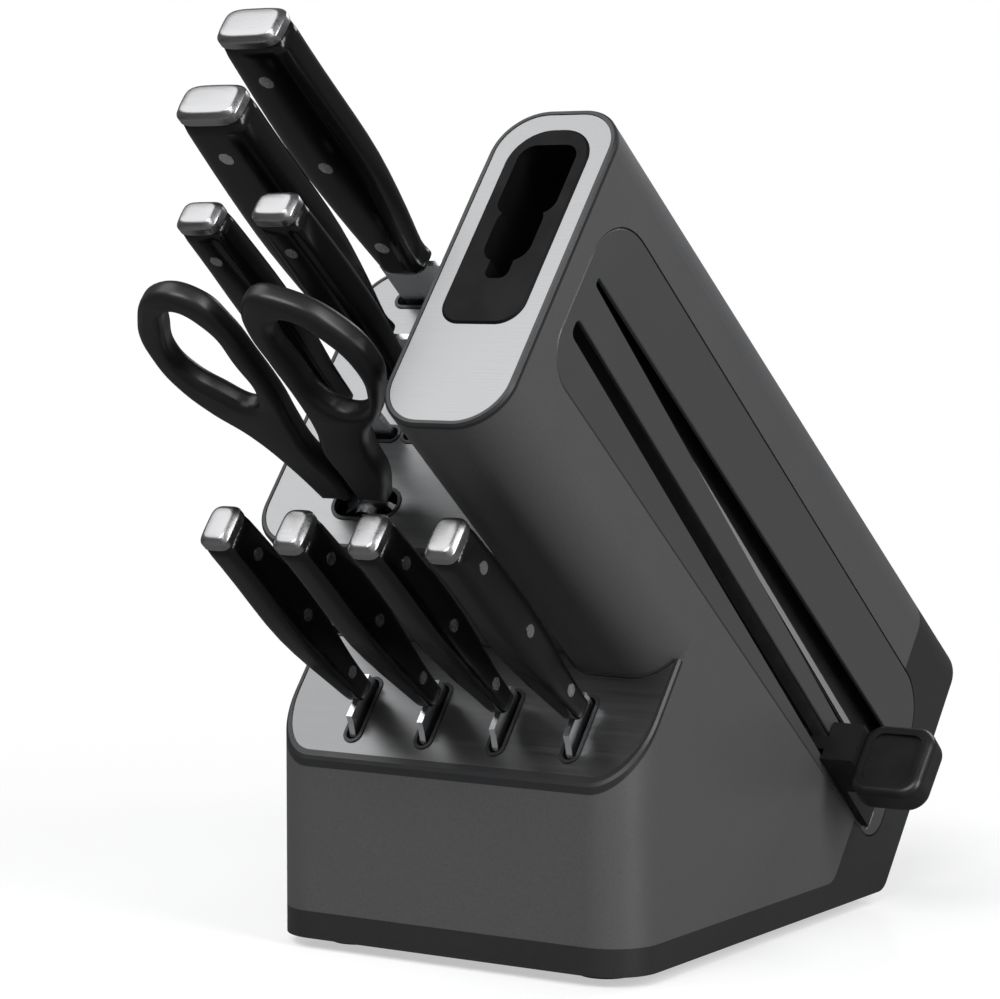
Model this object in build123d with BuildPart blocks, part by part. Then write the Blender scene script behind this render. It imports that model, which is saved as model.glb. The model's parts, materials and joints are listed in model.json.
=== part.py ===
"""Knife block with a slide sharpener: housings, eight knives and a pair of shears.

Frame: +Z up, front of the block towards -Y, origin on the table under the middle of the footprint.
The decks, knives and sharpener tower share one inclined frame, called incline: its x runs across
the block, its y (named v below) climbs the sloping decks, its z (named s) points along the handles.
"""
import os
from math import cos, radians, sin, tan

from build123d import *

os.makedirs("parts", exist_ok=True)

# ---- housing, millimetres ----
body_width = 154.0
body_depth = 195.0            # footprint, front to back
front_height = 66.4           # front face, from the underside of the base cover
incline_angle = 39.0          # handles above the horizontal
corner_radius = 18.0
wall = 3.0
band_height = 10.0            # visible band of the base cover
foot_height = 4.0
foot_radius = 12.0
foot_inset = 24.0
deck_step = 58.0              # lower deck to upper deck, along the handles
tower_step = 88.0             # upper deck to tower top, along the handles
tower_width = 49.0
tower_setback = 44.8          # tower front, up the deck from the front edge
riser_setback = 52.9          # deck housing's front wall, from the same edge
split_setback = 113.4         # joint between front and rear housings, from the same edge
rear_setback = 177.4          # rear wall at the tower top, from the same edge
rear_draft = 1.3              # degrees that the rear wall leans out towards the bottom
cover_depth = 40.0            # rear part of the base cover, along the handles
cover_round = 9.0
tray_thickness = 2.2
rim_width = 2.0
rim_bevel = 0.8
plate_thickness = 0.8
plate_recess = 0.3            # plate face below the rim
plate_gap = 0.15

# ---- knives and shears ----
row_pitch = 30.6              # between upper rows, up the deck
back_row_from_rear = 13.0     # back row to the rear wall at the tower top
steak_pitch = 30.5
steak_count = 4
steak_first_x = -43.6
steak_row = 25.1              # middle of the steak knives' handles, up the deck from its front edge
slot_clearance = 1.5          # each side of a blade in its slot
slot_end_share = 0.08         # play before and behind a blade in its slot, as a share of its width
slot_rim = 1.2                # width of the moulded rim round each slot
slot_rim_height = 0.5
blade_thickness = 2.4
large_handle = 125.3
small_handle = 102.5
rivet_radius = 2.8
rivet_proud = 0.25
cap_thickness = 5.0
cap_bevel = 1.6
tang_inset = 2.0              # tang narrower than the handle, each side
sleeve_wall = 1.2
shears_x = -33.0              # pivot
shears_thickness = 9.0
shears_blade_thickness = 2.4
shears_blade_length = 92.0    # from the pivot down
shears_play = 1.6             # round the shears in their slot
screw_radius = 4.6

# ---- sharpener ----
insert_wall = 2.0
mouth_clear = 1.5             # mouth's wall to the channel behind the side panel
recess_depth = 34.0
panel_thickness = 1.6
panel_gap = 0.45
panel_ledge = 5.0
channel_depth = 9.5
rod_radius = 2.5
rod_bore_clearance = 0.05
bracket_thickness = 6.0
track_tilt = 2.45             # degrees that the lever's slot leans up the deck
lever_rest = -82.0            # middle of the lever along the track at rest
lever_span = 22.0
stem_half = 2.6
carriage_depth = 11.0         # up the deck
axle_rise = 5.5               # axles, up the deck from the track's middle
axle_radius = 1.5
axle_pitch = 13.0
wheel_radius = 7.5
hub_radius = 4.2
wheel_bore_clearance = 0.08
disc_thickness = 1.6
disc_pitch = 4.4
ear_thickness = 3.5
knob_width = 29.0
knob_height = 31.0
knob_thickness = 12.5
knob_reach = 13.5             # side wall to the knob
moving_gap = 0.6              # between moving and fixed pieces

# ---- places worked out from the above ----
half_width = body_width / 2
slope_cos = cos(radians(incline_angle))
slope_sin = sin(radians(incline_angle))
incline = Plane(origin=(0, -body_depth / 2, foot_height), x_dir=(1, 0, 0),
                z_dir=(0, -slope_cos, slope_sin))
lower_deck = front_height * slope_sin
deck_front = front_height * slope_cos
upper_deck = lower_deck + deck_step
tower_top = upper_deck + tower_step
rear_face = -body_depth * slope_cos
cover_seam = rear_face + cover_depth
tower_left = half_width - tower_width
tower_front = deck_front + tower_setback
riser = deck_front + riser_setback
split_v = deck_front + split_setback
rear_at_top = deck_front + rear_setback
track_lean = radians(track_tilt)


def save(piece, name):
    """Label a finished piece and write it out."""
    piece.part.label = name
    export_step(piece.part, f"parts/{name}.step")
    print(name, round(piece.part.volume), len(piece.part.solids()))


def at(s):
    """Plane across the handles at height s; its x and y are the block's x and v."""
    return incline.offset(s)


def spot(x, v, s):
    """Point of the inclined frame in the part's own frame."""
    return incline.from_local_coords(Vector(x, v, s))


def along_x(x, v=0.0, s=0.0):
    """Plane facing +X at x; its x climbs the deck (v), its y points along the handles (s)."""
    return Plane(origin=spot(x, v, s), x_dir=(0, slope_sin, slope_cos), z_dir=(1, 0, 0))


def up_deck(v):
    """Plane facing up the deck at place v."""
    return Plane(origin=spot(0, v, 0), x_dir=(1, 0, 0), z_dir=(0, slope_sin, slope_cos))


def rear_wall(s):
    return rear_at_top + (tower_top - s) * tan(radians(rear_draft))


def side_point(v, s):
    """World Y and Z of a point on a side wall."""
    point = spot(0, v, s)
    return (point.Y, point.Z)


def upright_block(inset=0.0):
    """The footprint pushed upright, as far back as the joint up the deck."""
    with BuildPart() as block:
        with BuildSketch(Plane.XY.offset(foot_height - 1)):
            with Locations((0, body_depth / 2)):
                Rectangle(body_width - 2 * inset, 2 * body_depth - 2 * inset)
            fillet(vertices().group_by(Axis.Y)[0], corner_radius - inset)
        extrude(amount=body_depth + front_height)
        split(bisect_by=up_deck(split_v), keep=Keep.BOTTOM)
    return block.part


def inclined_block(x0, x1, v0, s0, s1, corners=(), inset=0.0):
    """A prism along the handles whose rear wall follows the draft; corners names the rounded ones."""
    with BuildPart() as block:
        for s in (s0, s1):
            rear = rear_wall(s) - inset
            places = {
                "front_left": (x0 + inset, v0 + inset),
                "front_right": (x1 - inset, v0 + inset),
                "rear_right": (x1 - inset, rear),
                "rear_left": (x0 + inset, rear),
            }
            with BuildSketch(at(s)):
                with BuildLine():
                    Polyline(*places.values(), close=True)
                make_face()
                for corner in corners:
                    place = Vector(*places[corner])
                    fillet(vertices().sort_by(lambda v: (Vector(v) - place).length)[0], corner_radius - inset)
        loft(ruled=True)
    return block.part


def rear_block(inset=0.0):
    """Everything behind the joint up the deck, from below the rear face to the upper deck."""
    with BuildPart() as block:
        add(inclined_block(-half_width, half_width, split_v - 2 * inset, rear_face - wall, upper_deck,
                           ("rear_left", "rear_right"), inset))
        split(bisect_by=up_deck(split_v), keep=Keep.TOP)
    return block.part


def tower_block(low, high, inset=0.0):
    return inclined_block(tower_left, half_width, tower_front, low, high,
                          ("front_left", "front_right", "rear_right", "rear_left"), inset)


def deck_block(low, high, inset=0.0):
    """The deck housing's outline, run under the tower's round corner."""
    return inclined_block(-half_width, tower_left + corner_radius + inset, riser, low, high,
                          ("front_left", "rear_left"), inset)


def side_slab(points, rounded=()):
    """A side outline in world Y and Z, pushed across the whole width."""
    with BuildPart() as slab:
        with BuildSketch(Plane.YZ.offset(-half_width)):
            with BuildLine():
                Polyline(*points, close=True)
            make_face()
            for place, radius in rounded:
                corner = Vector(*place)
                fillet(vertices().sort_by(lambda v: (Vector(v) - corner).length)[0], radius)
        extrude(amount=body_width)
    return slab.part


# ---- base cover: the dark tray under the block that turns up into its rear end ----
band_top = foot_height + band_height
turn = side_point((band_height - cover_seam * slope_sin) / slope_cos, cover_seam)
rear_knee = side_point(rear_wall(rear_face), rear_face)
rear_heel = (body_depth / 2, foot_height)
cover_outline = [
    (-body_depth / 2, foot_height),
    (-body_depth / 2, band_top),
    turn,
    side_point(rear_wall(cover_seam), cover_seam),
    rear_knee,
    rear_heel,
]
with BuildPart() as cover_shell:
    add(side_slab(cover_outline, [(turn, cover_round), (rear_knee, cover_round), (rear_heel, cover_round)]))
    with BuildPart(mode=Mode.PRIVATE) as outside:
        add(upright_block())
        add(rear_block())
    add(outside.part, mode=Mode.INTERSECT)
    with BuildPart(mode=Mode.PRIVATE) as hollow:
        add(upright_block(wall))
        add(rear_block(wall))
        split(bisect_by=Plane.XY.offset(foot_height + wall), keep=Keep.TOP)
        split(bisect_by=at(rear_face + wall), keep=Keep.TOP)
    add(hollow.part, mode=Mode.SUBTRACT)

front_outline = [
    (-body_depth / 2, band_top),
    side_point((lower_deck - tray_thickness) * slope_cos / slope_sin, lower_deck - tray_thickness),
    side_point(split_v, lower_deck - tray_thickness),
    side_point(split_v, cover_seam),
    turn,
]
with BuildPart() as front_shell:
    add(side_slab(front_outline, [(turn, cover_round)]))
    add(upright_block(), mode=Mode.INTERSECT)
    add(upright_block(wall), mode=Mode.SUBTRACT)

# ---- rear housings: the left one carries the upper deck, the right one is the sharpener tower ----
tray_floor = lower_deck - tray_thickness


def rear_shell(block, ends, keep_left):
    """One rear housing: its block above the lower deck joined to its share of the rear block."""
    with BuildPart() as shell:
        add(rear_block())
        split(bisect_by=at(tray_floor), keep=Keep.BOTTOM)
        split(bisect_by=at(cover_seam), keep=Keep.TOP)
        split(bisect_by=Plane.YZ.offset(tower_left), keep=Keep.BOTTOM if keep_left else Keep.TOP)
        add(block(tray_floor, ends[0]))
        add(block(tray_floor - 1, ends[0] + 1, wall), mode=Mode.SUBTRACT)
        with BuildPart(mode=Mode.PRIVATE) as hollow:
            add(rear_block(wall))
            split(bisect_by=at(tray_floor + 2 * wall), keep=Keep.BOTTOM)
        add(hollow.part, mode=Mode.SUBTRACT)
    return shell.part


with BuildPart() as deck_housing:
    add(rear_shell(deck_block, (upper_deck - tray_thickness,), True))
    add(tower_block(cover_seam - 1, upper_deck + 1), mode=Mode.SUBTRACT)
save(deck_housing, "deck_housing")

panel_low_v = split_v - 34.0
panel_high_v = split_v + 34.5
panel_low_s = rear_face + 19.0
panel_high_s = tower_top - 11.8


def rounded_outline(corners):
    """A closed outline from (x, y, radius) corners, each rounded to its radius, on a flat sketch."""
    with BuildSketch() as outline:
        with BuildLine():
            Polyline(*[(x, y) for x, y, radius in corners], close=True)
        make_face()
        for x, y, radius in corners:
            if radius:
                place = Vector(x, y)
                fillet(vertices().sort_by(lambda v: (Vector(v) - place).length)[0], radius)
    return outline.sketch


def panel_outline(grow):
    """The side panel's outline (v, s), grown outwards."""
    low_v, high_v = panel_low_v - grow, panel_high_v + grow
    low_s, high_s = panel_low_s - grow, panel_high_s + grow
    return rounded_outline([
        (low_v, low_s, 12 + grow),
        (high_v, low_s, 19 + grow),
        (high_v, high_s, 24 + grow),
        (low_v, high_s, 14 + grow),
    ])


with BuildPart() as panel_cut:
    with BuildSketch(along_x(half_width - panel_thickness)):
        add(panel_outline(panel_gap))
    extrude(amount=panel_thickness + 1)
    with BuildSketch(along_x(half_width - 2 * wall)):
        add(panel_outline(-panel_ledge))
    extrude(amount=2 * wall)

with BuildPart() as sharpener_housing:
    add(rear_shell(tower_block, (tower_top - tray_thickness,), False))
    add(panel_cut.part, mode=Mode.SUBTRACT)
save(sharpener_housing, "sharpener_housing")

with BuildPart() as front_housing:
    add(front_shell.part)
    add(panel_cut.part, mode=Mode.SUBTRACT)
save(front_housing, "front_housing")

with BuildPart() as base_cover:
    add(cover_shell.part)
    add(panel_cut.part, mode=Mode.SUBTRACT)
save(base_cover, "base_cover")

# ---- feet and the screws that hold the base cover ----
foot_places = [
    (x, y)
    for x in (foot_inset - half_width, half_width - foot_inset)
    for y in (foot_inset - body_depth / 2, body_depth / 2 - foot_inset - cover_round)
]
with BuildPart() as rubber_feet:
    for x, y in foot_places:
        with BuildSketch(Plane.XY.offset(foot_height)):
            with Locations((x, y)):
                Circle(foot_radius)
        extrude(amount=-foot_height / 2)
        with BuildSketch(Plane.XY.offset(foot_height / 2)):
            with Locations((x, y)):
                Circle(foot_radius - 1.5)
        extrude(amount=-foot_height / 2)
    chamfer(rubber_feet.edges().group_by(Axis.Z)[0], 0.5)
save(rubber_feet, "rubber_feet")

# ---- slots: knife rows on the upper deck, steak knives on the lower deck ----
row_v = [rear_at_top - back_row_from_rear - row * row_pitch for row in range(4)]
steak_v = deck_front + steak_row
steak_x = [steak_first_x + steak_pitch * number for number in range(steak_count)]

# knife: handle's middle x, row, blade width, spine to the handle's middle, side of the edge,
# blade length, share of the edge that is straight
upper_knives = {
    "chef_knife": (-41.0, 0, 43.0, 14.0, 1, 200.0, 0.4),
    "carving_knife": (-46.0, 1, 35.0, 11.5, 1, 195.0, 0.6),
    "paring_knife": (-47.5, 2, 19.0, 5.5, 1, 88.0, 0.4),
    "utility_knife": (-13.5, 2, 22.0, 7.5, -1, 125.0, 0.6),
}
steak_blade = (22.5, 7.8, -1, 112.0, 0.5)
shears_half = 10.0            # half the width of the closed shears at their pivot


def blade_middle(x, width, spine, side):
    """Middle of a blade across, from its handle's middle."""
    return x + side * (width / 2 - spine)


def slot_length(width):
    return width * (1 + 2 * slot_end_share)


def slot_shapes(grow):
    """Every opening of the upper deck (x, v), grown outwards."""
    with BuildSketch() as shapes:
        for x, row, width, spine, side, length, straight in upper_knives.values():
            with Locations((blade_middle(x, width, spine, side), row_v[row])):
                SlotOverall(slot_length(width) + 2 * grow, blade_thickness + 2 * (slot_clearance + grow))
        with Locations((shears_x, row_v[3])):
            SlotOverall(2 * (shears_half + 2 * shears_play + grow),
                        shears_thickness + 2 * (shears_play + grow))
    return shapes.sketch


def steak_shapes(grow):
    """Every opening of the lower deck (x, v), grown outwards."""
    width, spine, side, length, straight = steak_blade
    with BuildSketch() as shapes:
        for x in steak_x:
            with Locations((x, blade_middle(steak_v, width, spine, side))):
                SlotOverall(width + 2 * (slot_clearance + grow),
                            blade_thickness + 2 * (slot_clearance + grow), rotation=90)
    return shapes.sketch


def deck_tray(outline, pocket, shapes, top):
    """A dark tray under a deck plate: bevelled rim, pocket for the plate, a raised rim at each slot."""
    with BuildPart() as tray:
        add(outline)
        split(bisect_by=at(top), keep=Keep.BOTTOM)
        split(bisect_by=at(top - tray_thickness), keep=Keep.TOP)
        add(pocket, mode=Mode.SUBTRACT)
        with BuildSketch(at(top - tray_thickness)):
            add(shapes(slot_rim))
        extrude(amount=tray_thickness - plate_recess + slot_rim_height)
        with BuildSketch(at(top - tray_thickness)):
            add(shapes(0))
        extrude(amount=tray_thickness + 1, mode=Mode.SUBTRACT)
    return tray.part


def deck_plate(pocket, shapes, top):
    """The brushed plate that lies in a tray's pocket."""
    with BuildPart() as plate:
        add(pocket)
        split(bisect_by=at(top - plate_recess), keep=Keep.BOTTOM)
        with BuildSketch(at(top - plate_recess - plate_thickness)):
            add(shapes(slot_rim + plate_gap))
        extrude(amount=2 * plate_thickness, mode=Mode.SUBTRACT)
    return plate.part


def bevelled(block, top, keep_edge):
    """A block cut at top, with the outer edges of its top face bevelled."""
    with BuildPart() as piece:
        add(block)
        split(bisect_by=at(top), keep=Keep.BOTTOM)
        face = piece.faces().sort_by(lambda f: (f.center() - incline.origin).dot(incline.z_dir))[-1]
        edges = face.outer_wire().edges()
        chamfer([edge for edge in edges if keep_edge(incline.to_local_coords(edge.center()))], rim_bevel)
    return piece.part


pocket_floor = plate_recess + plate_thickness


def lower_pocket(gap):
    with BuildPart() as pocket:
        add(upright_block(rim_width + gap))
        split(bisect_by=at(lower_deck - pocket_floor), keep=Keep.TOP)
        split(bisect_by=up_deck(riser - 1 - gap), keep=Keep.BOTTOM)
        add(tower_block(tray_floor - 5, lower_deck + 40, -1 - gap), mode=Mode.SUBTRACT)
    return pocket.part


with BuildPart() as lower_outline:
    add(bevelled(upright_block(), lower_deck, lambda place: place.Y < split_v - 1))
    split(bisect_by=up_deck(riser), keep=Keep.BOTTOM)
    add(tower_block(tray_floor - 5, lower_deck + 5), mode=Mode.SUBTRACT)

with BuildPart() as lower_deck_tray:
    add(deck_tray(lower_outline.part, lower_pocket(0), steak_shapes, lower_deck))
save(lower_deck_tray, "lower_deck_tray")

with BuildPart() as lower_deck_plate:
    add(deck_plate(lower_pocket(plate_gap), steak_shapes, lower_deck))
save(lower_deck_plate, "lower_deck_plate")


def upper_pocket(gap):
    with BuildPart() as pocket:
        add(deck_block(upper_deck - pocket_floor, upper_deck + 5, rim_width + gap))
        add(tower_block(tray_floor, tower_top, -1 - gap), mode=Mode.SUBTRACT)
    return pocket.part


with BuildPart() as upper_outline:
    add(bevelled(deck_block(upper_deck - 2 * tray_thickness, upper_deck + 1), upper_deck,
                 lambda place: place.X < tower_left))
    add(tower_block(tray_floor, tower_top), mode=Mode.SUBTRACT)

with BuildPart() as upper_deck_tray:
    add(deck_tray(upper_outline.part, upper_pocket(0), slot_shapes, upper_deck))
save(upper_deck_tray, "upper_deck_tray")

with BuildPart() as upper_deck_plate:
    add(deck_plate(upper_pocket(plate_gap), slot_shapes, upper_deck))
save(upper_deck_plate, "upper_deck_plate")

# ---- tower top: trim ring, brushed plate and the moulded insert that takes a knife ----
tower_x = tower_left + tower_width / 2
insert_low = tower_front + 41.2
insert_high = rear_at_top - 9.0
insert_width = 32.0
mouth_width = 2 * (half_width - channel_depth - insert_wall - mouth_clear - tower_x)


def insert_outline(grow):
    low, high = insert_low - grow, insert_high + grow
    left, right = tower_x - insert_width / 2 - grow, tower_x + insert_width / 2 + grow
    return rounded_outline([(left, low, 9 + grow), (right, low, 9 + grow),
                            (right, high, 14 + grow), (left, high, 14 + grow)])


def recess_outline(grow):
    """A handle-shaped mouth: wide heel at the back, narrower belly, small notch at the front."""
    with BuildSketch() as outline:
        with Locations((tower_x, insert_high - 22.0)):
            RectangleRounded(mouth_width + 2 * grow, 30 + 2 * grow, 6 + grow)
        with Locations((tower_x, insert_high - 45.0)):
            RectangleRounded(mouth_width - 5 + 2 * grow, 24 + 2 * grow, 7 + grow)
        with Locations((tower_x, insert_high - 58.0)):
            RectangleRounded(9 + 2 * grow, 12 + 2 * grow, 3 + grow)
    return outline.sketch


with BuildPart() as top_outline:
    add(bevelled(tower_block(tower_top - 2 * tray_thickness, tower_top + 1), tower_top, lambda place: True))
    split(bisect_by=at(tower_top - tray_thickness), keep=Keep.TOP)

with BuildPart() as top_trim:
    add(top_outline.part)
    add(tower_block(tower_top - pocket_floor, tower_top + 5, rim_width), mode=Mode.SUBTRACT)
    with BuildSketch(at(tower_top - 2 * tray_thickness)):
        add(recess_outline(insert_wall + plate_gap))
    extrude(amount=3 * tray_thickness, mode=Mode.SUBTRACT)
save(top_trim, "top_trim")

with BuildPart() as top_plate:
    add(tower_block(tower_top - pocket_floor, tower_top + 5, rim_width + plate_gap))
    split(bisect_by=at(tower_top - plate_recess), keep=Keep.BOTTOM)
    with BuildSketch(at(tower_top - 5)):
        add(insert_outline(plate_gap))
    extrude(amount=10, mode=Mode.SUBTRACT)
save(top_plate, "top_plate")

with BuildPart() as sharpener_insert:
    with BuildSketch(at(tower_top - pocket_floor)):
        add(insert_outline(0))
    extrude(amount=pocket_floor + 0.4)
    chamfer(sharpener_insert.faces().sort_by(lambda f: f.center().dot(incline.z_dir))[-1].edges(), 0.7)
    with BuildSketch(at(tower_top - pocket_floor)):
        add(recess_outline(insert_wall))
    extrude(amount=-recess_depth)
    with BuildSketch(at(tower_top + 2)):
        add(recess_outline(0))
    extrude(amount=-recess_depth - 1, mode=Mode.SUBTRACT)
    with BuildSketch(at(tower_top + 2)):
        with Locations((tower_x, insert_high - 32)):
            SlotOverall(50, 5, rotation=90)
    extrude(amount=-2 * recess_depth, mode=Mode.SUBTRACT)
save(sharpener_insert, "sharpener_insert")

# ---- side panel, the channel behind it and the guide rods ----
track_top = panel_high_s - 6.0
track_low = panel_low_s + 8.5
track_v0 = split_v - 20.6       # middle of the lever slot at the middle of its travel
track_s0 = 23.0
track_dir = (incline.z_dir * cos(track_lean) + Vector(0, slope_sin, slope_cos) * sin(track_lean)).normalized()


def track_v(s):
    """Middle of the lever's slot, up the deck, at height s."""
    return track_v0 + (s - track_s0) * tan(track_lean)


def lever_slot(grow):
    low_half, high_half = 5.2 + grow, 3.4 + grow
    low, high = track_low - grow, track_top + grow
    return rounded_outline([
        (track_v(low) - low_half, low, 3),
        (track_v(low) + low_half, low, 3),
        (track_v(high) + high_half, high, 2.5),
        (track_v(high) - high_half, high, 2.5),
    ])


sight_v = split_v + 7.5         # straight edge of the second slot


def sight_slot(grow):
    low, high = track_low + 4 - grow, track_top - 2 + grow
    return rounded_outline([
        (sight_v - 22.5 - grow, low, 3),
        (sight_v + grow, low, 3),
        (sight_v + grow, high, 1),
        (sight_v - 3.2 - grow, high, 1),
    ])


panel_face = half_width
with BuildPart() as track_panel:
    with BuildSketch(along_x(panel_face - panel_thickness)):
        add(panel_outline(0))
        add(lever_slot(0), mode=Mode.SUBTRACT)
        add(sight_slot(0), mode=Mode.SUBTRACT)
    extrude(amount=panel_thickness)
    chamfer(track_panel.faces().sort_by(Axis.X)[-1].edges(), 0.35)
save(track_panel, "track_panel")

channel_back = panel_face - channel_depth
channel_front = panel_face - panel_thickness
flange_outer = panel_face - wall
with BuildPart() as track_channel:
    with BuildSketch(along_x(channel_back)):
        add(panel_outline(-panel_ledge - panel_gap))
    extrude(amount=channel_front - channel_back)
    with BuildSketch(along_x(channel_back + 1.5)):
        add(panel_outline(-panel_ledge - panel_gap - 1.5))
    extrude(amount=channel_depth, mode=Mode.SUBTRACT)
    with BuildSketch(along_x(flange_outer - 1.5)):
        add(panel_outline(1.0))
        add(panel_outline(-panel_ledge - 1), mode=Mode.SUBTRACT)
    extrude(amount=1.5)
    with BuildSketch(along_x(channel_back)):
        add(rounded_outline([(sight_v - 15, track_low + 6, 0), (sight_v - 10, track_low + 6, 0),
                             (sight_v - 1, track_top - 6, 0), (sight_v - 4, track_top - 6, 0)]))
    extrude(amount=channel_depth - 5)
    with BuildSketch(along_x(channel_back - 1)):
        add(lever_slot(0.4))
    extrude(amount=channel_depth, mode=Mode.SUBTRACT)
save(track_channel, "track_channel")

# ---- guide rods, carriage, axles and stone wheels behind the panel ----
carriage_left = tower_left + 5.0
carriage_right = channel_back - moving_gap
rod_x = (carriage_left + 6.0, carriage_right - 6.5)
rod_rise = -8.0              # rods, up the deck from the track's middle
rod_low = track_low - 4.0
rod_high = track_top + 2.0
axle_x = [(carriage_left + carriage_right + side * axle_pitch) / 2 + 2.0 for side in (-1, 1)]
lever_low = lever_rest - lever_span / 2


def track(x, rise, s):
    """Plane across the track: its x is the block's x, its y climbs the deck, its z follows the track."""
    middle = spot(0, track_v0, track_s0) + track_dir * ((s - track_s0) / cos(track_lean))
    origin = middle + Vector(x, 0, 0) + track_dir.cross(Vector(1, 0, 0)) * rise
    return Plane(origin=origin, x_dir=(1, 0, 0), z_dir=track_dir)


with BuildPart() as guide_rods:
    for x in rod_x:
        with BuildSketch(track(x, rod_rise, rod_low)):
            Circle(rod_radius)
        extrude(amount=(rod_high - rod_low) / cos(track_lean))
save(guide_rods, "guide_rods")

with BuildPart() as rod_brackets:
    for s in (rod_low - bracket_thickness / 2, rod_high - bracket_thickness / 2):
        with BuildSketch(track(0, 0, s)):
            with Locations(((rod_x[0] - 2 * rod_radius + channel_back) / 2, rod_rise)):
                Rectangle(channel_back - rod_x[0] + 2 * rod_radius, 4 * rod_radius)
        extrude(amount=bracket_thickness)
    add(guide_rods.part, mode=Mode.SUBTRACT)
save(rod_brackets, "rod_brackets")

with BuildPart() as carriage:
    with BuildSketch(track(0, 0, lever_low)):
        with Locations(((carriage_left + carriage_right) / 2, rod_rise)):
            RectangleRounded(carriage_right - carriage_left, carriage_depth, 2)
    extrude(amount=lever_span)
    for s in (lever_low, lever_low + lever_span - ear_thickness):
        with BuildSketch(track(0, 0, s)):
            with Locations((sum(axle_x) / 2, (rod_rise + axle_rise + axle_radius) / 2 + 1)):
                RectangleRounded(axle_pitch + 7, axle_rise - rod_rise + 2 * axle_radius + 2, 2)
        extrude(amount=ear_thickness)
    for x in rod_x:
        with BuildSketch(track(x, rod_rise, lever_low - 1)):
            Circle(rod_radius + rod_bore_clearance)
        extrude(amount=lever_span + 2, mode=Mode.SUBTRACT)
    for x in axle_x:
        with BuildSketch(track(x, axle_rise, lever_low)):
            Circle(axle_radius)
        extrude(amount=lever_span, mode=Mode.SUBTRACT)
save(carriage, "carriage")

with BuildPart() as wheel_axles:
    for x in axle_x:
        with BuildSketch(track(x, axle_rise, lever_low)):
            Circle(axle_radius)
        extrude(amount=lever_span)
save(wheel_axles, "wheel_axles")


def stone_wheel(x, offset):
    """A hub with thin grinding discs that pass between those of its neighbour."""
    low = lever_low + ear_thickness + moving_gap
    length = lever_span - 2 * ear_thickness - 2 * moving_gap
    with BuildPart() as wheel:
        with BuildSketch(track(x, axle_rise, low)):
            Circle(hub_radius)
        extrude(amount=length)
        for number in range(int((length - offset) / disc_pitch)):
            with BuildSketch(track(x, axle_rise, low + offset + number * disc_pitch)):
                Circle(wheel_radius)
            extrude(amount=disc_thickness)
        with BuildSketch(track(x, axle_rise, low - 1)):
            Circle(axle_radius + wheel_bore_clearance)
        extrude(amount=length + 2, mode=Mode.SUBTRACT)
    return wheel


left_stone_wheel = stone_wheel(axle_x[0], moving_gap)
save(left_stone_wheel, "left_stone_wheel")
right_stone_wheel = stone_wheel(axle_x[1], moving_gap + disc_pitch / 2)
save(right_stone_wheel, "right_stone_wheel")

# ---- lever: a leg through the slot, a stem outside, the skirt that covers the slot, and the knob ----
stem_out = half_width + moving_gap
knob_inner = half_width + knob_reach
stem_low = -7.0              # stem block, up the deck from the track's middle
stem_high = 9.5
skirt_length = 24.0
skirt_thickness = 3.0
stem_rise = (stem_low + stem_high) / 2


def stem_block():
    """The stem between the side wall and the knob."""
    with BuildPart() as block:
        with BuildSketch(track(0, 0, lever_low)):
            with Locations(((stem_out + knob_inner) / 2, stem_rise)):
                Rectangle(knob_inner - stem_out, stem_high - stem_low)
        extrude(amount=lever_span)
    return block.part


with BuildPart() as lever_stem:
    add(stem_block())
    with BuildSketch(track(0, 0, lever_low)):
        with Locations(((carriage_right + stem_out + 1) / 2, 0)):
            Rectangle(stem_out + 1 - carriage_right, 2 * stem_half)
    extrude(amount=lever_span)
    with BuildSketch(track(0, 0, lever_low - skirt_length)):
        with Locations((stem_out + skirt_thickness / 2, stem_rise)):
            Rectangle(skirt_thickness, stem_high - stem_low)
    extrude(amount=skirt_length + lever_span / 2)
save(lever_stem, "lever_stem")

with BuildPart() as lever_knob:
    knob_plane = track(knob_inner - 1 + knob_width / 2, -2.0, lever_rest - knob_thickness / 2 + 1)
    with BuildSketch(knob_plane):
        RectangleRounded(knob_width, knob_height, 8)
    extrude(amount=knob_thickness)
    ends = lever_knob.faces().sort_by(lambda f: f.center().dot(track_dir))
    fillet(ends[-1].edges() + ends[0].edges(), 3.0)
    with BuildSketch(knob_plane.offset(knob_thickness)):
        RectangleRounded(knob_width - 9, knob_height - 9, 4.5)
    extrude(amount=-1.4, mode=Mode.SUBTRACT)
    add(stem_block(), mode=Mode.SUBTRACT)
save(lever_knob, "lever_knob")

# ---- knives: a blade with its tang inside a moulded handle, three rivets and a steel end cap ----
# handle sections: share of the length from the blade end, width, thickness, shift across
large_sections = [
    (0.0, 19.0, 12.5, -0.3),
    (0.05, 16.5, 13.0, -2.0),
    (0.14, 19.8, 14.0, -1.3),
    (0.28, 24.4, 15.0, -0.6),
    (0.45, 29.0, 15.5, 0.1),
    (0.6, 29.2, 15.5, 0.4),
    (0.8, 27.2, 15.6, 0.8),
    (1.0, 25.8, 15.8, 2.2),
]
small_sections = [
    (0.0, 8.8, 8.6, 0.6),
    (0.18, 11.5, 10.0, -0.4),
    (0.37, 16.8, 12.5, -0.3),
    (0.55, 19.4, 13.0, -0.2),
    (0.8, 17.4, 12.8, 0.5),
    (1.0, 16.6, 12.3, 0.1),
]
rivet_shares = (0.14, 0.5, 0.86)


def handle_size(sections, share):
    """Width, thickness and shift of a handle, read between its sections."""
    for low, high in zip(sections, sections[1:]):
        if share <= high[0]:
            part = (share - low[0]) / (high[0] - low[0])
            return [low[n] + part * (high[n] - low[n]) for n in (1, 2, 3)]
    return sections[-1][1:]


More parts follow.
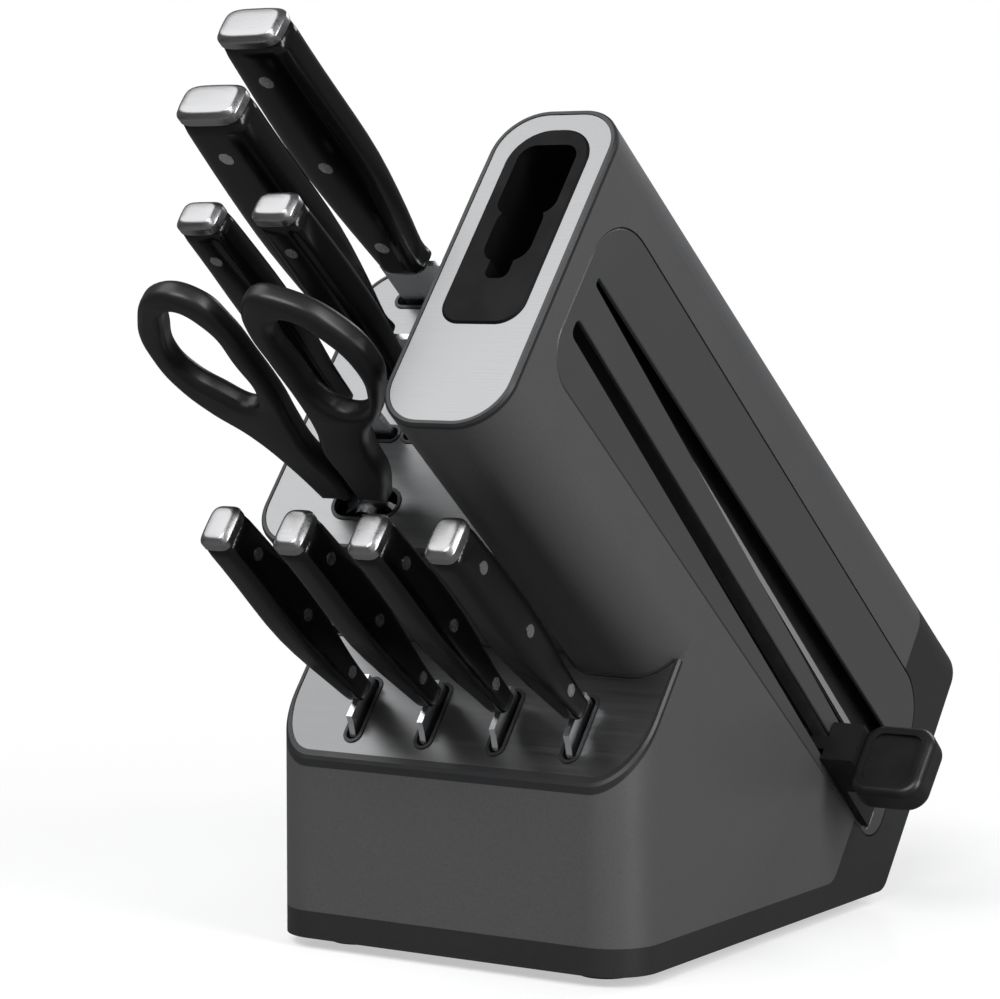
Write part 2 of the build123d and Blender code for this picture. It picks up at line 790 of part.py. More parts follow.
def blade_outline(width, spine, side, length, straight):
    """A blade hanging below its handle: straight spine, curved edge on its side, heel at the handle."""
    heel = side * (width - spine)
    back = -side * spine
    tip = (0.2 * heel + 0.3 * back, -length)
    with BuildSketch() as outline:
        with BuildLine():
            Line((back, 2), (back, -0.8 * length))
            Spline((back, -0.8 * length), (0.12 * heel + 0.55 * back, -0.93 * length), tip)
            Spline(tip, (0.72 * heel, -0.82 * length), (heel, -straight * length))
            Polyline((heel, -straight * length), (heel, -7), (0.8 * heel, -3), (0.62 * heel, 2), (back, 2))
        make_face()
    return outline.sketch


def knife(name, base, length, sections, blade):
    """Make one knife; base is the plane across the blade end of its handle, its x towards the width."""
    flat = Plane(origin=base.origin, x_dir=base.x_dir, z_dir=base.x_dir.cross(base.z_dir))
    tang_width = min(section[1] for section in sections) - 2 * tang_inset
    with BuildPart() as tang:
        with BuildSketch(flat):
            with Locations((0, length * 0.46)):
                Rectangle(tang_width, length * 0.92)
        extrude(amount=blade_thickness / 2, both=True)
    with BuildPart() as rivets:
        for share in rivet_shares:
            width, thickness, shift = handle_size(sections, share)
            with BuildSketch(flat):
                with Locations((shift / 2, length * share)):
                    Circle(min(rivet_radius, tang_width / 2 - 0.1))
            extrude(amount=thickness / 2 + rivet_proud, both=True)
    with BuildPart() as handle:
        for share, width, thickness, shift in sections:
            with BuildSketch(base.offset(share * length)):
                with Locations((shift, 0)):
                    RectangleRounded(width, thickness, min(width, thickness) * 0.34)
        loft()
        add(tang.part, mode=Mode.SUBTRACT)
        add(rivets.part, mode=Mode.SUBTRACT)
    with BuildPart() as steel:
        with BuildSketch(flat):
            add(blade_outline(*blade))
        extrude(amount=blade_thickness / 2, both=True)
        split(bisect_by=base, keep=Keep.BOTTOM)
        add(tang.part)
        add(rivets.part, mode=Mode.SUBTRACT)
    share, width, thickness, shift = sections[-1]
    with BuildPart() as cap:
        with BuildSketch(base.offset(length)):
            with Locations((shift, 0)):
                RectangleRounded(width, thickness, thickness * 0.34)
        extrude(amount=cap_thickness)
        outer = cap.faces().sort_by(lambda f: f.center().dot(base.z_dir))[-1]
        chamfer(outer.edges(), cap_bevel)
    save(steel, f"{name}_blade")
    save(handle, f"{name}_handle")
    save(rivets, f"{name}_rivets")
    save(cap, f"{name}_end_cap")


across_block = Vector(1, 0, 0)
up_the_deck = Vector(0, slope_sin, slope_cos)
handle_rise = {"chef_knife": 21.5, "carving_knife": 17.5, "paring_knife": 18.0, "utility_knife": 22.3}
steak_rise = 6.0
for name, (x, row, *blade) in upper_knives.items():
    foot = spot(x, row_v[row], upper_deck + handle_rise[name])
    base = Plane(origin=foot, x_dir=across_block, z_dir=incline.z_dir)
    length, sections = (large_handle, large_sections) if row < 2 else (small_handle, small_sections)
    knife(name, base, length, sections, blade)
for number, x in enumerate(steak_x, 1):
    base = Plane(origin=spot(x, steak_v, lower_deck + steak_rise), x_dir=up_the_deck, z_dir=incline.z_dir)
    knife(f"steak_knife_{number}", base, small_handle, small_sections, steak_blade)

# ---- sleeves under the decks that hold the blades apart ----
sleeve_room = blade_thickness + 2 * slot_clearance       # inner thickness
with BuildPart() as blade_sleeves:
    for name, (x, row, width, spine, side, length, straight) in upper_knives.items():
        with BuildSketch(at(upper_deck - tray_thickness)):
            with Locations((blade_middle(x, width, spine, side), row_v[row])):
                Rectangle(slot_length(width) + 2 * sleeve_wall, sleeve_room + 2 * sleeve_wall)
                Rectangle(slot_length(width), sleeve_room, mode=Mode.SUBTRACT)
        extrude(amount=handle_rise[name] - length)
    width, spine, side, length, straight = steak_blade
    for x in steak_x:
        with BuildSketch(at(lower_deck - tray_thickness)):
            with Locations((x, blade_middle(steak_v, width, spine, side))):
                Rectangle(sleeve_room + 2 * sleeve_wall, width + 2 * (slot_clearance + sleeve_wall))
                Rectangle(sleeve_room, width + 2 * slot_clearance, mode=Mode.SUBTRACT)
        extrude(amount=steak_rise - length)
    split(bisect_by=Plane.XY.offset(foot_height + wall + 1), keep=Keep.TOP)
save(blade_sleeves, "blade_sleeves")

# ---- shears: two ringed handles on two crossed blades, which hang in the front hole by their pivot ----
shears_v = row_v[3]
shears_pivot = -4.0          # pivot to the upper deck, along the handles
plane_gap = 0.1              # each blade to the plane between them
pivot_s = upper_deck + shears_pivot
shank = 10.2                 # handles' lower ends above the pivot


def shears_plane(offset=0.0):
    """Plane of the shears at their pivot, offset down the deck; its x is the block's x, its y points up."""
    return Plane(origin=spot(shears_x, shears_v - offset, pivot_s), x_dir=(1, 0, 0), z_dir=-up_the_deck)


def shears_ring(outer, hole, tang_points, side):
    """A handle: outer and hole are round stretches from the shank, (x, y) from the pivot."""
    with BuildPart() as handle:
        with BuildSketch(shears_plane(-shears_thickness / 2)):
            with BuildLine():
                Spline(*outer)
                Line(outer[-1], outer[0])
            make_face()
            with BuildLine():
                Spline(*hole, periodic=True)
            make_face(mode=Mode.SUBTRACT)
        extrude(amount=shears_thickness)
        faces_out = handle.faces().filter_by(lambda f: abs(f.normal_at().dot(up_the_deck)) > 0.99)
        chamfer(faces_out.edges(), 1.8)
        add(shears_steel(tang_points, side), mode=Mode.SUBTRACT)
        with BuildSketch(shears_plane(-shears_thickness)):
            Circle(screw_radius + moving_gap)
        extrude(amount=2 * shears_thickness, mode=Mode.SUBTRACT)
    return handle


def shears_steel(tang_points, side):
    """A blade with its tang; side 1 lies up the deck, side -1 lies down the deck."""
    start = plane_gap if side < 0 else -plane_gap - shears_blade_thickness
    low = -shears_blade_length
    with BuildPart() as blade:
        with BuildSketch(shears_plane(start)):
            with BuildLine():
                Polyline(*tang_points, (side * shears_half, 0), (side * shears_half, low * 0.6),
                         (-side * 1.0, low), (-side * 4.5, low * 0.9), (-side * shears_half, 0), close=True)
            make_face()
        extrude(amount=shears_blade_thickness)
    return blade.part


left_tang = [(-9.0, 3.0), (-13.0, shank), (-15.5, 32.0), (-9.5, 50.0), (-5.0, 50.0), (-4.5, 36.0),
             (-1.5, shank), (3.0, 5.0)]
right_tang = [(9.0, 3.0), (13.5, shank), (20.5, 36.0), (19.0, 48.0), (11.0, 48.0), (6.0, 32.0),
              (2.5, shank), (-2.0, 5.0)]
left_outer = [(-14.0, shank), (-18.0, 29.0), (-24.5, 47.0), (-34.0, 61.0), (-39.5, 74.0), (-41.0, 89.0),
              (-35.5, 110.0), (-17.0, 126.5), (-3.0, 121.0), (1.2, 107.0), (1.3, 89.0), (0.4, 69.0),
              (-2.0, 54.0), (-3.5, 39.0), (-0.6, 22.0), (-0.6, shank)]
left_hole = [(-32.0, 90.0), (-27.0, 104.0), (-16.0, 117.0), (-8.0, 109.0), (-7.0, 89.0), (-8.0, 71.0),
             (-14.0, 64.0), (-24.0, 72.0), (-30.0, 80.0)]
right_outer = [(14.0, shank), (20.5, 24.0), (23.0, 39.0), (27.0, 50.0), (37.0, 60.0), (46.0, 74.0),
               (51.0, 88.0), (46.5, 109.0), (32.0, 123.0), (21.0, 125.5), (13.0, 118.0), (9.5, 108.0),
               (8.5, 89.0), (8.0, 69.0), (6.0, 52.0), (2.0, 39.0), (2.0, 24.0), (1.5, shank)]
right_hole = [(42.0, 88.0), (38.5, 102.0), (29.5, 113.0), (21.5, 110.0), (17.5, 100.0), (17.0, 84.0),
              (18.0, 69.0), (24.5, 62.5), (33.0, 64.5), (39.5, 74.0)]

shears_left_handle = shears_ring(left_outer, left_hole, left_tang, 1)
save(shears_left_handle, "shears_left_handle")
shears_right_handle = shears_ring(right_outer, right_hole, right_tang, -1)
save(shears_right_handle, "shears_right_handle")

with BuildPart() as shears_pivot_screw:
    with BuildSketch(shears_plane(-shears_thickness / 2 + 0.5)):
        Circle(screw_radius)
    extrude(amount=shears_thickness / 2 - 0.5 - plane_gap - shears_blade_thickness - 0.1)
    with BuildSketch(shears_plane(-shears_thickness / 2)):
        Circle(screw_radius / 2)
    extrude(amount=shears_thickness)
    with BuildSketch(shears_plane(plane_gap + shears_blade_thickness)):
        Circle(screw_radius)
    extrude(amount=1.6)
save(shears_pivot_screw, "shears_pivot_screw")

with BuildPart() as shears_left_blade:
    add(shears_steel(left_tang, 1))
    with BuildSketch(shears_plane(-shears_thickness)):
        Circle(screw_radius / 2 + rod_bore_clearance)
    extrude(amount=2 * shears_thickness, mode=Mode.SUBTRACT)
save(shears_left_blade, "shears_left_blade")

with BuildPart() as shears_right_blade:
    add(shears_steel(right_tang, -1))
    add(shears_pivot_screw.part, mode=Mode.SUBTRACT)
save(shears_right_blade, "shears_right_blade")
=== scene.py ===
"""Looks for the knife block: its housings, brushed decks, knives, shears and slide sharpener."""
import json
from math import atan2, copysign, cos, radians, sin

import bmesh
import bpy
from mathutils import Matrix, Vector


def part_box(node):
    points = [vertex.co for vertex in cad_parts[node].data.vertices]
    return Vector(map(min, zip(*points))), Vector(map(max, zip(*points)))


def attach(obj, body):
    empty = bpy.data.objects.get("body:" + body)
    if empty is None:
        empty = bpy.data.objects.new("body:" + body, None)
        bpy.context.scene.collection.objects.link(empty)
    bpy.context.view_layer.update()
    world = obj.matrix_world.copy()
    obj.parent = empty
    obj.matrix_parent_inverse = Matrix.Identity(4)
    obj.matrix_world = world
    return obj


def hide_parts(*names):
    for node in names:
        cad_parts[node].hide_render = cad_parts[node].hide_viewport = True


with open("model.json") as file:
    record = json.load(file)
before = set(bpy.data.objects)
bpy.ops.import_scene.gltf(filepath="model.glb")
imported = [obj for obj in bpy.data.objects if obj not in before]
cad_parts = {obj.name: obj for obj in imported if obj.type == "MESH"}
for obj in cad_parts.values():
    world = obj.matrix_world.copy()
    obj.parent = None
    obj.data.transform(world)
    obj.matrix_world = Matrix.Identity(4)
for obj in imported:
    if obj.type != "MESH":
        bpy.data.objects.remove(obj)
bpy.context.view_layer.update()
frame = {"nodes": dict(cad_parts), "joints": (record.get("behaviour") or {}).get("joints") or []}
nodes = frame["nodes"]
slides = {joint["name"]: Vector(joint["axis"]) for joint in frame["joints"]}

# ---- room ----
# A pale, slightly glossy floor that fades into white round the object, four soft boxes and the
# camera. The floor and the background are white to the camera and dim to everything else, so the
# dark glossy handles don't mirror them.
room = bpy.context.scene
room.view_settings.view_transform = "Standard"
room.view_settings.look = "None"
world = bpy.data.worlds.new("studio")
room.world = world
world.use_nodes = True
sky = world.node_tree
sky.nodes.clear()
seen = sky.nodes.new("ShaderNodeBackground")
seen.inputs["Color"].default_value = (1, 1, 1, 1)
seen.inputs["Strength"].default_value = 1.0
lit = sky.nodes.new("ShaderNodeBackground")
lit.inputs["Color"].default_value = (0.95, 0.97, 1, 1)
lit.inputs["Strength"].default_value = 0.16
path = sky.nodes.new("ShaderNodeLightPath")
choose = sky.nodes.new("ShaderNodeMixShader")
sky_out = sky.nodes.new("ShaderNodeOutputWorld")
sky.links.new(path.outputs["Is Camera Ray"], choose.inputs[0])
sky.links.new(lit.outputs[0], choose.inputs[1])
sky.links.new(seen.outputs[0], choose.inputs[2])
sky.links.new(choose.outputs[0], sky_out.inputs["Surface"])

floor_bm = bmesh.new()
bmesh.ops.create_circle(floor_bm, cap_ends=True, segments=96, radius=12.0)
floor_mesh = bpy.data.meshes.new("floor")
floor_bm.to_mesh(floor_mesh)
floor_bm.free()
floor = bpy.data.objects.new("floor", floor_mesh)
room.collection.objects.link(floor)
floor_paint = bpy.data.materials.new("pale_floor")
floor_paint.use_nodes = True
floor_mesh.materials.append(floor_paint)
paint = floor_paint.node_tree
near = paint.nodes["Principled BSDF"]
near.inputs["Base Color"].default_value = (0.8, 0.8, 0.81, 1)
near.inputs["Roughness"].default_value = 0.14
near.inputs["Specular IOR Level"].default_value = 0.4
near.inputs["Emission Color"].default_value = (1, 1, 1, 1)
near.inputs["Emission Strength"].default_value = 0.5
dim = paint.nodes.new("ShaderNodeBsdfDiffuse")
dim.inputs["Color"].default_value = (0.2, 0.2, 0.2, 1)
far = paint.nodes.new("ShaderNodeEmission")
far.inputs["Strength"].default_value = 1.0
place = paint.nodes.new("ShaderNodeTexCoord")
away = paint.nodes.new("ShaderNodeVectorMath")
away.operation = "LENGTH"
fade = paint.nodes.new("ShaderNodeMapRange")
fade.interpolation_type = "SMOOTHSTEP"
fade.inputs["From Min"].default_value = 0.16
fade.inputs["From Max"].default_value = 0.62
both = paint.nodes.new("ShaderNodeMixShader")
direct = paint.nodes.new("ShaderNodeLightPath")
seen_or_dim = paint.nodes.new("ShaderNodeMixShader")
paint.links.new(place.outputs["Object"], away.inputs[0])
paint.links.new(away.outputs["Value"], fade.inputs["Value"])
paint.links.new(fade.outputs["Result"], both.inputs[0])
paint.links.new(near.outputs[0], both.inputs[1])
paint.links.new(far.outputs[0], both.inputs[2])
paint.links.new(direct.outputs["Is Camera Ray"], seen_or_dim.inputs[0])
paint.links.new(dim.outputs[0], seen_or_dim.inputs[1])
paint.links.new(both.outputs[0], seen_or_dim.inputs[2])
paint.links.new(seen_or_dim.outputs[0], paint.nodes["Material Output"].inputs["Surface"])


def soft_box(name, where, size, power, aim=(0, 0, 0.14)):
    """A rectangular studio light turned towards the object."""
    lamp = bpy.data.lights.new(name, "AREA")
    lamp.shape = "RECTANGLE"
    lamp.size, lamp.size_y = size
    lamp.energy = power
    stand = bpy.data.objects.new(name, lamp)
    stand.location = where
    stand.rotation_euler = (Vector(aim) - Vector(where)).to_track_quat("-Z", "Y").to_euler()
    room.collection.objects.link(stand)


soft_box("key_box", (-0.95, -0.75, 1.75), (1.5, 1.2), 12)
soft_box("front_box", (0.3, -1.75, 1.6), (1.6, 0.9), 28)
soft_box("right_box", (1.9, -0.5, 1.0), (0.6, 1.5), 27)
soft_box("back_box", (0.4, 1.7, 1.3), (1.4, 0.6), 12)

camera = bpy.data.objects.new("camera", bpy.data.cameras.new("camera"))
camera.data.sensor_width = 36.0
camera.data.lens = 118.24
camera.location = (0.63483, -1.05075, 0.25084)
camera.rotation_euler = (radians(85.76), 0, radians(32.652))
room.collection.objects.link(camera)
room.camera = camera


# ---- housings ----
# Three shells in satin charcoal paint with a fine metallic flake, and the darker cover that closes
# the block below and behind. The pieces meet at plain seams.
def new_finish(name, colour, roughness, metallic=0.0, specular=0.5):
    """A plain finish to build on; returns the material, its nodes and its shader."""
    made = bpy.data.materials.new(name)
    made.use_nodes = True
    tree = made.node_tree
    shader = tree.nodes["Principled BSDF"]
    shader.inputs["Base Color"].default_value = (*colour, 1)
    shader.inputs["Roughness"].default_value = roughness
    shader.inputs["Metallic"].default_value = metallic
    shader.inputs["Specular IOR Level"].default_value = specular
    return made, tree, shader


def grain(tree, scale, stretch=(1, 1, 1), detail=3.0):
    """Noise in the part's own space, stretched; returns its value output."""
    where = tree.nodes.new("ShaderNodeTexCoord")
    turn = tree.nodes.new("ShaderNodeMapping")
    turn.inputs["Scale"].default_value = stretch
    noise = tree.nodes.new("ShaderNodeTexNoise")
    noise.inputs["Scale"].default_value = scale
    noise.inputs["Detail"].default_value = detail
    tree.links.new(where.outputs["Object"], turn.inputs["Vector"])
    tree.links.new(turn.outputs["Vector"], noise.inputs["Vector"])
    return noise.outputs["Fac"]


def vary(tree, value, low, high, socket):
    """Drive a shader socket between two levels by a noise value."""
    spread = tree.nodes.new("ShaderNodeMapRange")
    spread.inputs["From Min"].default_value = 0.3
    spread.inputs["From Max"].default_value = 0.7
    spread.inputs["To Min"].default_value = low
    spread.inputs["To Max"].default_value = high
    tree.links.new(value, spread.inputs["Value"])
    tree.links.new(spread.outputs["Result"], socket)


def tint(tree, value, dark, light, socket):
    """Drive a colour socket between two colours by a noise value."""
    ramp = tree.nodes.new("ShaderNodeValToRGB")
    ramp.color_ramp.elements[0].position = 0.3
    ramp.color_ramp.elements[1].position = 0.7
    ramp.color_ramp.elements[0].color = (*dark, 1)
    ramp.color_ramp.elements[1].color = (*light, 1)
    tree.links.new(value, ramp.inputs["Fac"])
    tree.links.new(ramp.outputs["Color"], socket)


def relief(tree, value, shader, strength, depth):
    """A fine bump from a noise value; depth in metres."""
    bump = tree.nodes.new("ShaderNodeBump")
    bump.inputs["Strength"].default_value = strength
    bump.inputs["Distance"].default_value = depth
    tree.links.new(value, bump.inputs["Height"])
    tree.links.new(bump.outputs["Normal"], shader.inputs["Normal"])


def dress(names, finish):
    """Give CAD nodes a finish."""
    for name in names:
        for holder in nodes[name].material_slots:
            holder.material = finish


def satin_paint(name, colour):
    """Satin paint with a fine flake, a little uneven in its gloss."""
    made, tree, shader = new_finish(name, colour, 0.42, 0.25)
    flake = grain(tree, 2600)
    tint(tree, flake, [c * 0.86 for c in colour], [c * 1.16 for c in colour], shader.inputs["Base Color"])
    vary(tree, grain(tree, 38), 0.37, 0.46, shader.inputs["Roughness"])
    relief(tree, flake, shader, 0.12, 0.00004)
    return made


housing_paint = satin_paint("satin_charcoal_paint", (0.118, 0.1185, 0.121))
cover_paint = satin_paint("dark_cover_paint", (0.034, 0.0345, 0.036))
dress(["front_housing", "deck_housing", "sharpener_housing"], housing_paint)
dress(["base_cover"], cover_paint)


# ---- feet ----
# Four round pads of black rubber under the base cover, each with a step, matt and slightly
# uneven all over.
foot_rubber, tree, shader = new_finish("black_rubber", (0.02, 0.02, 0.02), 0.78)
vary(tree, grain(tree, 240), 0.7, 0.88, shader.inputs["Roughness"])
relief(tree, grain(tree, 900), shader, 0.3, 0.0001)
dress(["rubber_feet"], foot_rubber)


# ---- decks and the tower's top ----
# Dark moulded trays with brushed steel plates let into them. The lower deck's plate takes a darker copy
# of the same steel: painted shade for the dark handles and riser that it mirrors.
def brushed_steel(name, colour, low, high, stretch=(14, 2600, 2600), contrast=0.07):
    """Steel whose lines run along the axis with the smallest stretch; equal stretches give no lines."""
    made, tree, shader = new_finish(name, colour, 0.3, 1.0)
    lines = grain(tree, 1, stretch, 2.0)
    tint(tree, lines, [c * (1 - contrast) for c in colour], [c * (1 + contrast) for c in colour],
         shader.inputs["Base Color"])
    vary(tree, lines, low, high, shader.inputs["Roughness"])
    return made


tray_plastic, tree, shader = new_finish("tray_plastic", (0.024, 0.0245, 0.026), 0.36)
vary(tree, grain(tree, 60), 0.34, 0.44, shader.inputs["Roughness"])
relief(tree, grain(tree, 1800), shader, 0.15, 0.00004)
dress(["lower_deck_tray", "upper_deck_tray", "top_trim"], tray_plastic)
plate_steel = brushed_steel("brushed_plate", (0.32, 0.325, 0.33), 0.3, 0.4)
dress(["upper_deck_plate", "top_plate"], plate_steel)
# painted shade: the lower plate's steel is the plate steel darkened, for the dark handles and riser it
# mirrors
painted_shade_steel = brushed_steel("brushed_plate_painted_shade", (0.22, 0.222, 0.226), 0.28, 0.38)
dress(["lower_deck_plate"], painted_shade_steel)

# ---- sharpener mouth ----
# A black moulded insert let into the tower's plate, with a handle-shaped opening. It has a fine
# matt grain that hardly shines.
mouth_plastic, tree, shader = new_finish("mouth_plastic", (0.004, 0.004, 0.004), 0.5, 0.0, 0.15)
vary(tree, grain(tree, 90), 0.5, 0.62, shader.inputs["Roughness"])
relief(tree, grain(tree, 2200), shader, 0.25, 0.00004)
dress(["sharpener_insert"], mouth_plastic)

# ---- side panel and what runs behind it ----
# A satin charcoal moulding with the lever's slot, over a black channel. Behind it are ground steel
# rods and axles, the carriage and two bonded grinding stones.
panel_plastic, tree, shader = new_finish("panel_plastic", (0.078, 0.0785, 0.08), 0.3, 0.1)
vary(tree, grain(tree, 46), 0.3, 0.38, shader.inputs["Roughness"])
relief(tree, grain(tree, 2400), shader, 0.12, 0.00003)
dress(["track_panel"], panel_plastic)
inner_plastic, tree, shader = new_finish("inner_plastic", (0.016, 0.016, 0.017), 0.5)
vary(tree, grain(tree, 120), 0.42, 0.58, shader.inputs["Roughness"])
dress(["track_channel", "rod_brackets", "blade_sleeves", "carriage"], inner_plastic)
ground_rod, tree, shader = new_finish("ground_rod", (0.6, 0.6, 0.61), 0.22, 1.0)
vary(tree, grain(tree, 300), 0.18, 0.3, shader.inputs["Roughness"])
dress(["guide_rods", "wheel_axles"], ground_rod)
stone, tree, shader = new_finish("grinding_stone", (0.42, 0.41, 0.39), 0.9)
tint(tree, grain(tree, 3000), (0.3, 0.29, 0.27), (0.5, 0.49, 0.47), shader.inputs["Base Color"])
relief(tree, grain(tree, 3000), shader, 0.6, 0.0002)
dress(["left_stone_wheel", "right_stone_wheel"], stone)

# ---- sight strip ----
# A pale strip that shows through the second slot, narrower towards the top. It is a thin sheet
# just clear of the rib in the channel, and its exact make is a guess.
MM = 0.001
up = slides["chef_knife_lift"].normalized()
across_block = Vector((1, 0, 0))
climb = Vector((0, up.z, -up.y))
shears_hinge = next(joint for joint in frame["joints"] if joint["name"] == "shears_open")
pivot = Vector(shears_hinge["pos_m"])


def inclined(x, v, s):
    """Point at millimetres across, up the deck and along the handles from the shears' pivot."""
    return pivot + (across_block * x + climb * v + up * s) * MM


strip_rise = 4.9              # from the channel's back
strip_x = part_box("track_channel")[0].x / MM + strip_rise - pivot.x / MM
strip_bm = bmesh.new()
strip_corners = [(34.2, -211.0), (37.4, -211.0), (46.4, 66.0), (45.2, 66.0)]
corner_points = [strip_bm.verts.new(inclined(strip_x, v, s)) for v, s in strip_corners]
bmesh.ops.contextual_create(strip_bm, geom=corner_points)
bmesh.ops.recalc_face_normals(strip_bm, faces=strip_bm.faces)
strip_mesh = bpy.data.meshes.new("sight_strip")
strip_bm.to_mesh(strip_mesh)
strip_bm.free()
strip_paint, tree, shader = new_finish("pale_strip", (0.3, 0.3, 0.3), 0.5)
vary(tree, grain(tree, 200), 0.45, 0.55, shader.inputs["Roughness"])
strip_mesh.materials.append(strip_paint)
strip = bpy.data.objects.new("sight_strip", strip_mesh)
room.collection.objects.link(strip)
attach(strip, "block")

# ---- lever ----
# A satin black moulded knob on a square stem, which reaches through the panel's slot to the
# carriage behind it.
lever_plastic, tree, shader = new_finish("lever_plastic", (0.012, 0.012, 0.013), 0.33)
vary(tree, grain(tree, 70), 0.28, 0.4, shader.inputs["Roughness"])
relief(tree, grain(tree, 2000), shader, 0.15, 0.00003)
dress(["lever_stem", "lever_knob"], lever_plastic)

# ---- knives ----
# Polished black moulded handles on ground steel blades, held by three rivets, each with a satin
# steel cap at its end. Smooth handles and caps stand in for the CAD's plainer ones.
handle_plastic, tree, shader = new_finish("handle_plastic", (0.004, 0.004, 0.0042), 0.2, 0.0, 0.42)
vary(tree, grain(tree, 55), 0.17, 0.23, shader.inputs["Roughness"])
blade_steel = brushed_steel("ground_blade", (0.85, 0.86, 0.88), 0.24, 0.28, (60, 60, 60), 0.02)
cap_steel = brushed_steel("satin_cap", (0.38, 0.38, 0.385), 0.26, 0.32, (60, 900, 900), 0.03)
rivet_steel, tree, shader = new_finish("rivet_steel", (0.62, 0.62, 0.63), 0.38, 1.0)
vary(tree, grain(tree, 500), 0.22, 0.34, shader.inputs["Roughness"])

# share of the length from the blade end, width, thickness, shift across, in millimetres
large_form = [
    (0.0, 19.0, 12.5, -0.3), (0.025, 17.4, 12.8, -1.3), (0.05, 16.5, 13.0, -2.0), (0.14, 19.8, 14.0, -1.3),
    (0.28, 24.4, 15.0, -0.6), (0.45, 29.0, 15.5, 0.1), (0.6, 29.2, 15.5, 0.4), (0.8, 27.2, 15.6, 0.8),
    (0.985, 25.9, 15.8, 2.1), (1.0, 25.8, 15.8, 2.2),
]
small_form = [
    (0.0, 8.8, 8.6, 0.6), (0.02, 8.9, 8.7, 0.5), (0.18, 11.5, 10.0, -0.4), (0.37, 16.8, 12.5, -0.3),
    (0.55, 19.4, 13.0, -0.2), (0.8, 17.4, 12.8, 0.5), (0.985, 16.7, 12.4, 0.1), (1.0, 16.6, 12.3, 0.1),
]
large_length = 125.3
small_length = 102.5
cap_depth = 5.0
# rise from the handle's end and how much narrower the cap is there, in millimetres
cap_steps = [(0.0, 0.0), (2.6, 0.0), (3.0, 0.25), (3.2, 0.6), (4.5, 2.9), (4.7, 3.5), (4.85, 5.0), (5.0, 9.0)]
handle_segments = 40
cap_segments = 48
crease = radians(38)          # edges sharper than this stay crisp


def squared_ring(bm, base, across, side, rise, width, thickness, shift, segments):
    """One squared-round section; returns its edges."""
    ring = bmesh.ops.create_circle(bm, segments=segments, radius=1)["verts"]
    for v in ring:
        turn = atan2(v.co.y, v.co.x)
        x = copysign(abs(cos(turn)) ** 0.5, cos(turn)) * width / 2 + shift
        y = copysign(abs(sin(turn)) ** 0.5, sin(turn)) * thickness / 2
        v.co = base + (across * x + side * y + up * rise) * MM
    return list({e for v in ring for e in v.link_edges})


def lofted(name, bm, rings, finish, smooth_levels, body):
    """Close rings of edges into one skin, fill the ends and finish the piece."""
    for low, high in zip(rings, rings[1:]):
        bmesh.ops.bridge_loops(bm, edges=low + high)
    bmesh.ops.holes_fill(bm, edges=rings[0] + rings[-1])
    bmesh.ops.recalc_face_normals(bm, faces=bm.faces)
    mesh = bpy.data.meshes.new(name)
    bm.to_mesh(mesh)
    bm.free()
    mesh.materials.append(finish)
    mesh.shade_smooth()
    mesh.set_sharp_from_angle(angle=crease)
    piece = bpy.data.objects.new(name, mesh)
    room.collection.objects.link(piece)
    if smooth_levels:
        skin = piece.modifiers.new("skin", "SUBSURF")
        skin.levels = skin.render_levels = smooth_levels
    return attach(piece, body)


def dress_knife(knife, form, length, across):
    """Replace one knife's handle and cap with smooth ones, placed from its cap."""
    side = up.cross(across)
    low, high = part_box(f"{knife}_end_cap")
    base = (low + high) / 2 - (up * (length + cap_depth / 2) + across * form[-1][3]) * MM
    bm = bmesh.new()
    rings = [squared_ring(bm, base, across, side, share * length, width, thickness, shift, handle_segments)
             for share, width, thickness, shift in form]
    handle = lofted(f"{knife}_grip", bm, rings, handle_plastic, 1, knife)
    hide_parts(f"{knife}_handle")
    share, width, thickness, shift = form[-1]
    bm = bmesh.new()
    rings = [squared_ring(bm, base, across, side, length + rise, width - inset, thickness - inset, shift,
                          cap_segments) for rise, inset in cap_steps]
    cap = lofted(f"{knife}_cap", bm, rings, cap_steel, 0, knife)
    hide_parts(f"{knife}_end_cap")
    dress([f"{knife}_blade"], blade_steel)
    dress([f"{knife}_rivets"], rivet_steel)


for knife in ("chef_knife", "carving_knife"):
    dress_knife(knife, large_form, large_length, across_block)
for knife in ("paring_knife", "utility_knife"):
    dress_knife(knife, small_form, small_length, across_block)
for number in range(1, 5):
    dress_knife(f"steak_knife_{number}", small_form, small_length, climb)

# ---- shears ----
# Two satin black moulded grips on crossed ground blades, joined by a steel pivot screw. They hang
# in the deck's front hole, with rounded edges all round the grips and their finger holes.
grip_plastic, tree, shader = new_finish("grip_plastic", (0.009, 0.009, 0.0095), 0.36)
vary(tree, grain(tree, 65), 0.32, 0.4, shader.inputs["Roughness"])
dress(["shears_left_blade", "shears_right_blade"], blade_steel)
dress(["shears_pivot_screw"], rivet_steel)

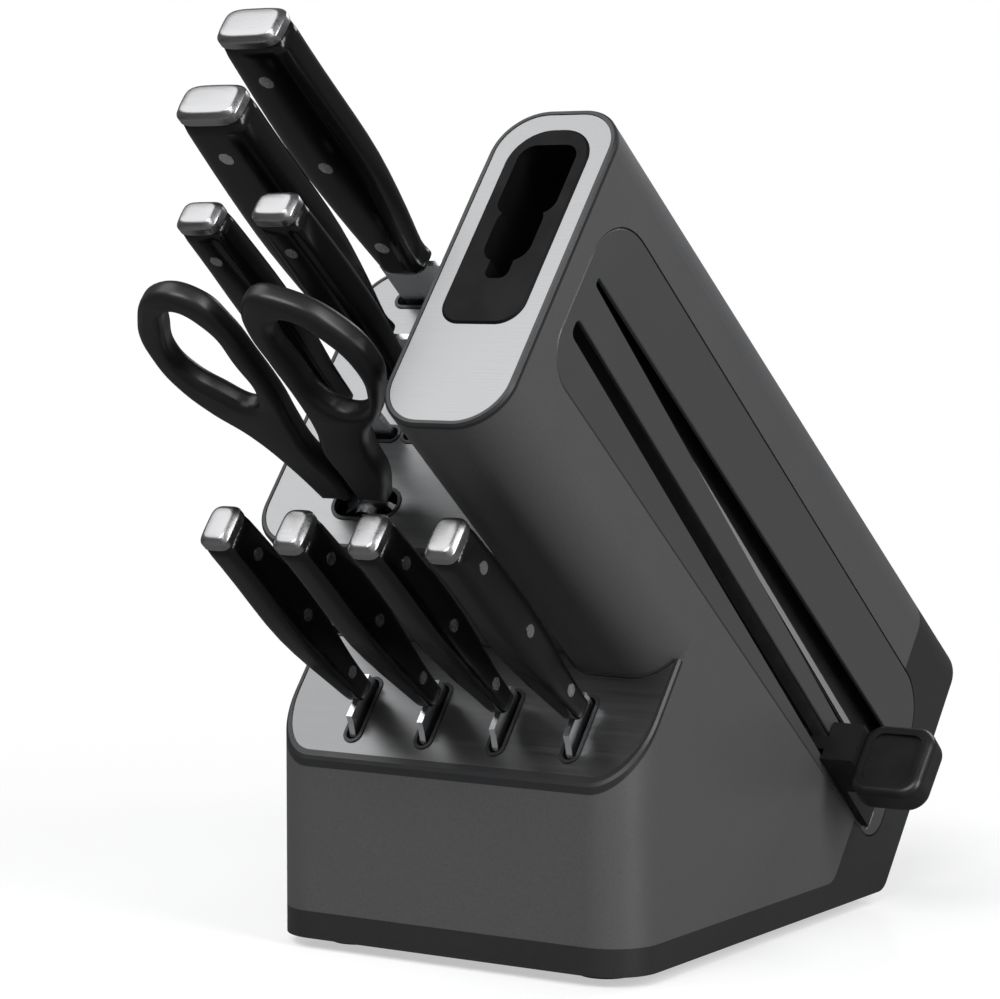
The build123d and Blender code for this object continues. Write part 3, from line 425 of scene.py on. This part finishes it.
# outlines from the pivot, across and up the handles, in millimetres: a grip and its finger hole
left_grip = [
    (-14, 10.2), (-18, 29), (-24.5, 47), (-34, 61), (-39.5, 74), (-41, 89), (-35.5, 110), (-17, 126.5),
    (-3, 121), (1.2, 107), (1.3, 89), (0.4, 69), (-2, 54), (-3.5, 39), (-0.6, 22), (-0.6, 10.2),
]
left_hole = [
    (-32, 90), (-27, 104), (-16, 117), (-8, 109), (-7, 89), (-8, 71), (-14, 64), (-24, 72), (-30, 80),
]
right_grip = [
    (14, 10.2), (20.5, 24), (23, 39), (27, 50), (37, 60), (46, 74), (51, 88), (46.5, 109), (32, 123),
    (21, 125.5), (13, 118), (9.5, 108), (8.5, 89), (8, 69), (6, 52), (2, 39), (2, 24), (1.5, 10.2),
]
right_hole = [
    (42, 88), (38.5, 102), (29.5, 113), (21.5, 110), (17.5, 100), (17, 84), (18, 69), (24.5, 62.5),
    (33, 64.5), (39.5, 74),
]
grip_half = 4.5
grip_round = 3.2


def moulded_grip(side, outline, hole, body):
    """A flat outline with a hole, swelled to a rounded moulding and stood up in the shears' plane."""
    shape = bpy.data.curves.new(f"shears_{side}_grip", "CURVE")
    shape.dimensions = "2D"
    shape.fill_mode = "BOTH"
    shape.resolution_u = 10
    shape.extrude = (grip_half - grip_round) * MM
    shape.bevel_depth = grip_round * MM
    shape.bevel_resolution = 5
    shape.offset = -grip_round * MM
    for loop, square_ends in ((outline, True), (hole, False)):
        spline = shape.splines.new("BEZIER")
        spline.bezier_points.add(len(loop) - 1)
        spline.use_cyclic_u = True
        for number, (point, (x, y)) in enumerate(zip(spline.bezier_points, loop)):
            point.co = (x * MM, y * MM, 0)
            square = square_ends and number in (0, len(loop) - 1)
            point.handle_left_type = point.handle_right_type = "VECTOR" if square else "AUTO"
    flat = bpy.data.objects.new("flat_grip", shape)
    room.collection.objects.link(flat)
    bpy.context.view_layer.update()
    mesh = bpy.data.meshes.new_from_object(flat)
    bpy.data.objects.remove(flat)
    stand = Matrix((across_block, up, -climb)).transposed().to_4x4()
    mesh.transform(Matrix.Translation(pivot) @ stand)
    mesh.materials.clear()
    mesh.materials.append(grip_plastic)
    skin = bmesh.new()
    skin.from_mesh(mesh)
    bmesh.ops.remove_doubles(skin, verts=skin.verts, dist=0.00001)
    bmesh.ops.recalc_face_normals(skin, faces=skin.faces)
    skin.to_mesh(mesh)
    skin.free()
    mesh.shade_smooth()
    mesh.set_sharp_from_angle(angle=radians(40))
    grip = bpy.data.objects.new(f"shears_{side}_grip", mesh)
    room.collection.objects.link(grip)
    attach(grip, body)
    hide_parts(f"shears_{side}_handle")


moulded_grip("left", left_grip, left_hole, "shears_left")
moulded_grip("right", right_grip, right_hole, "shears_right")
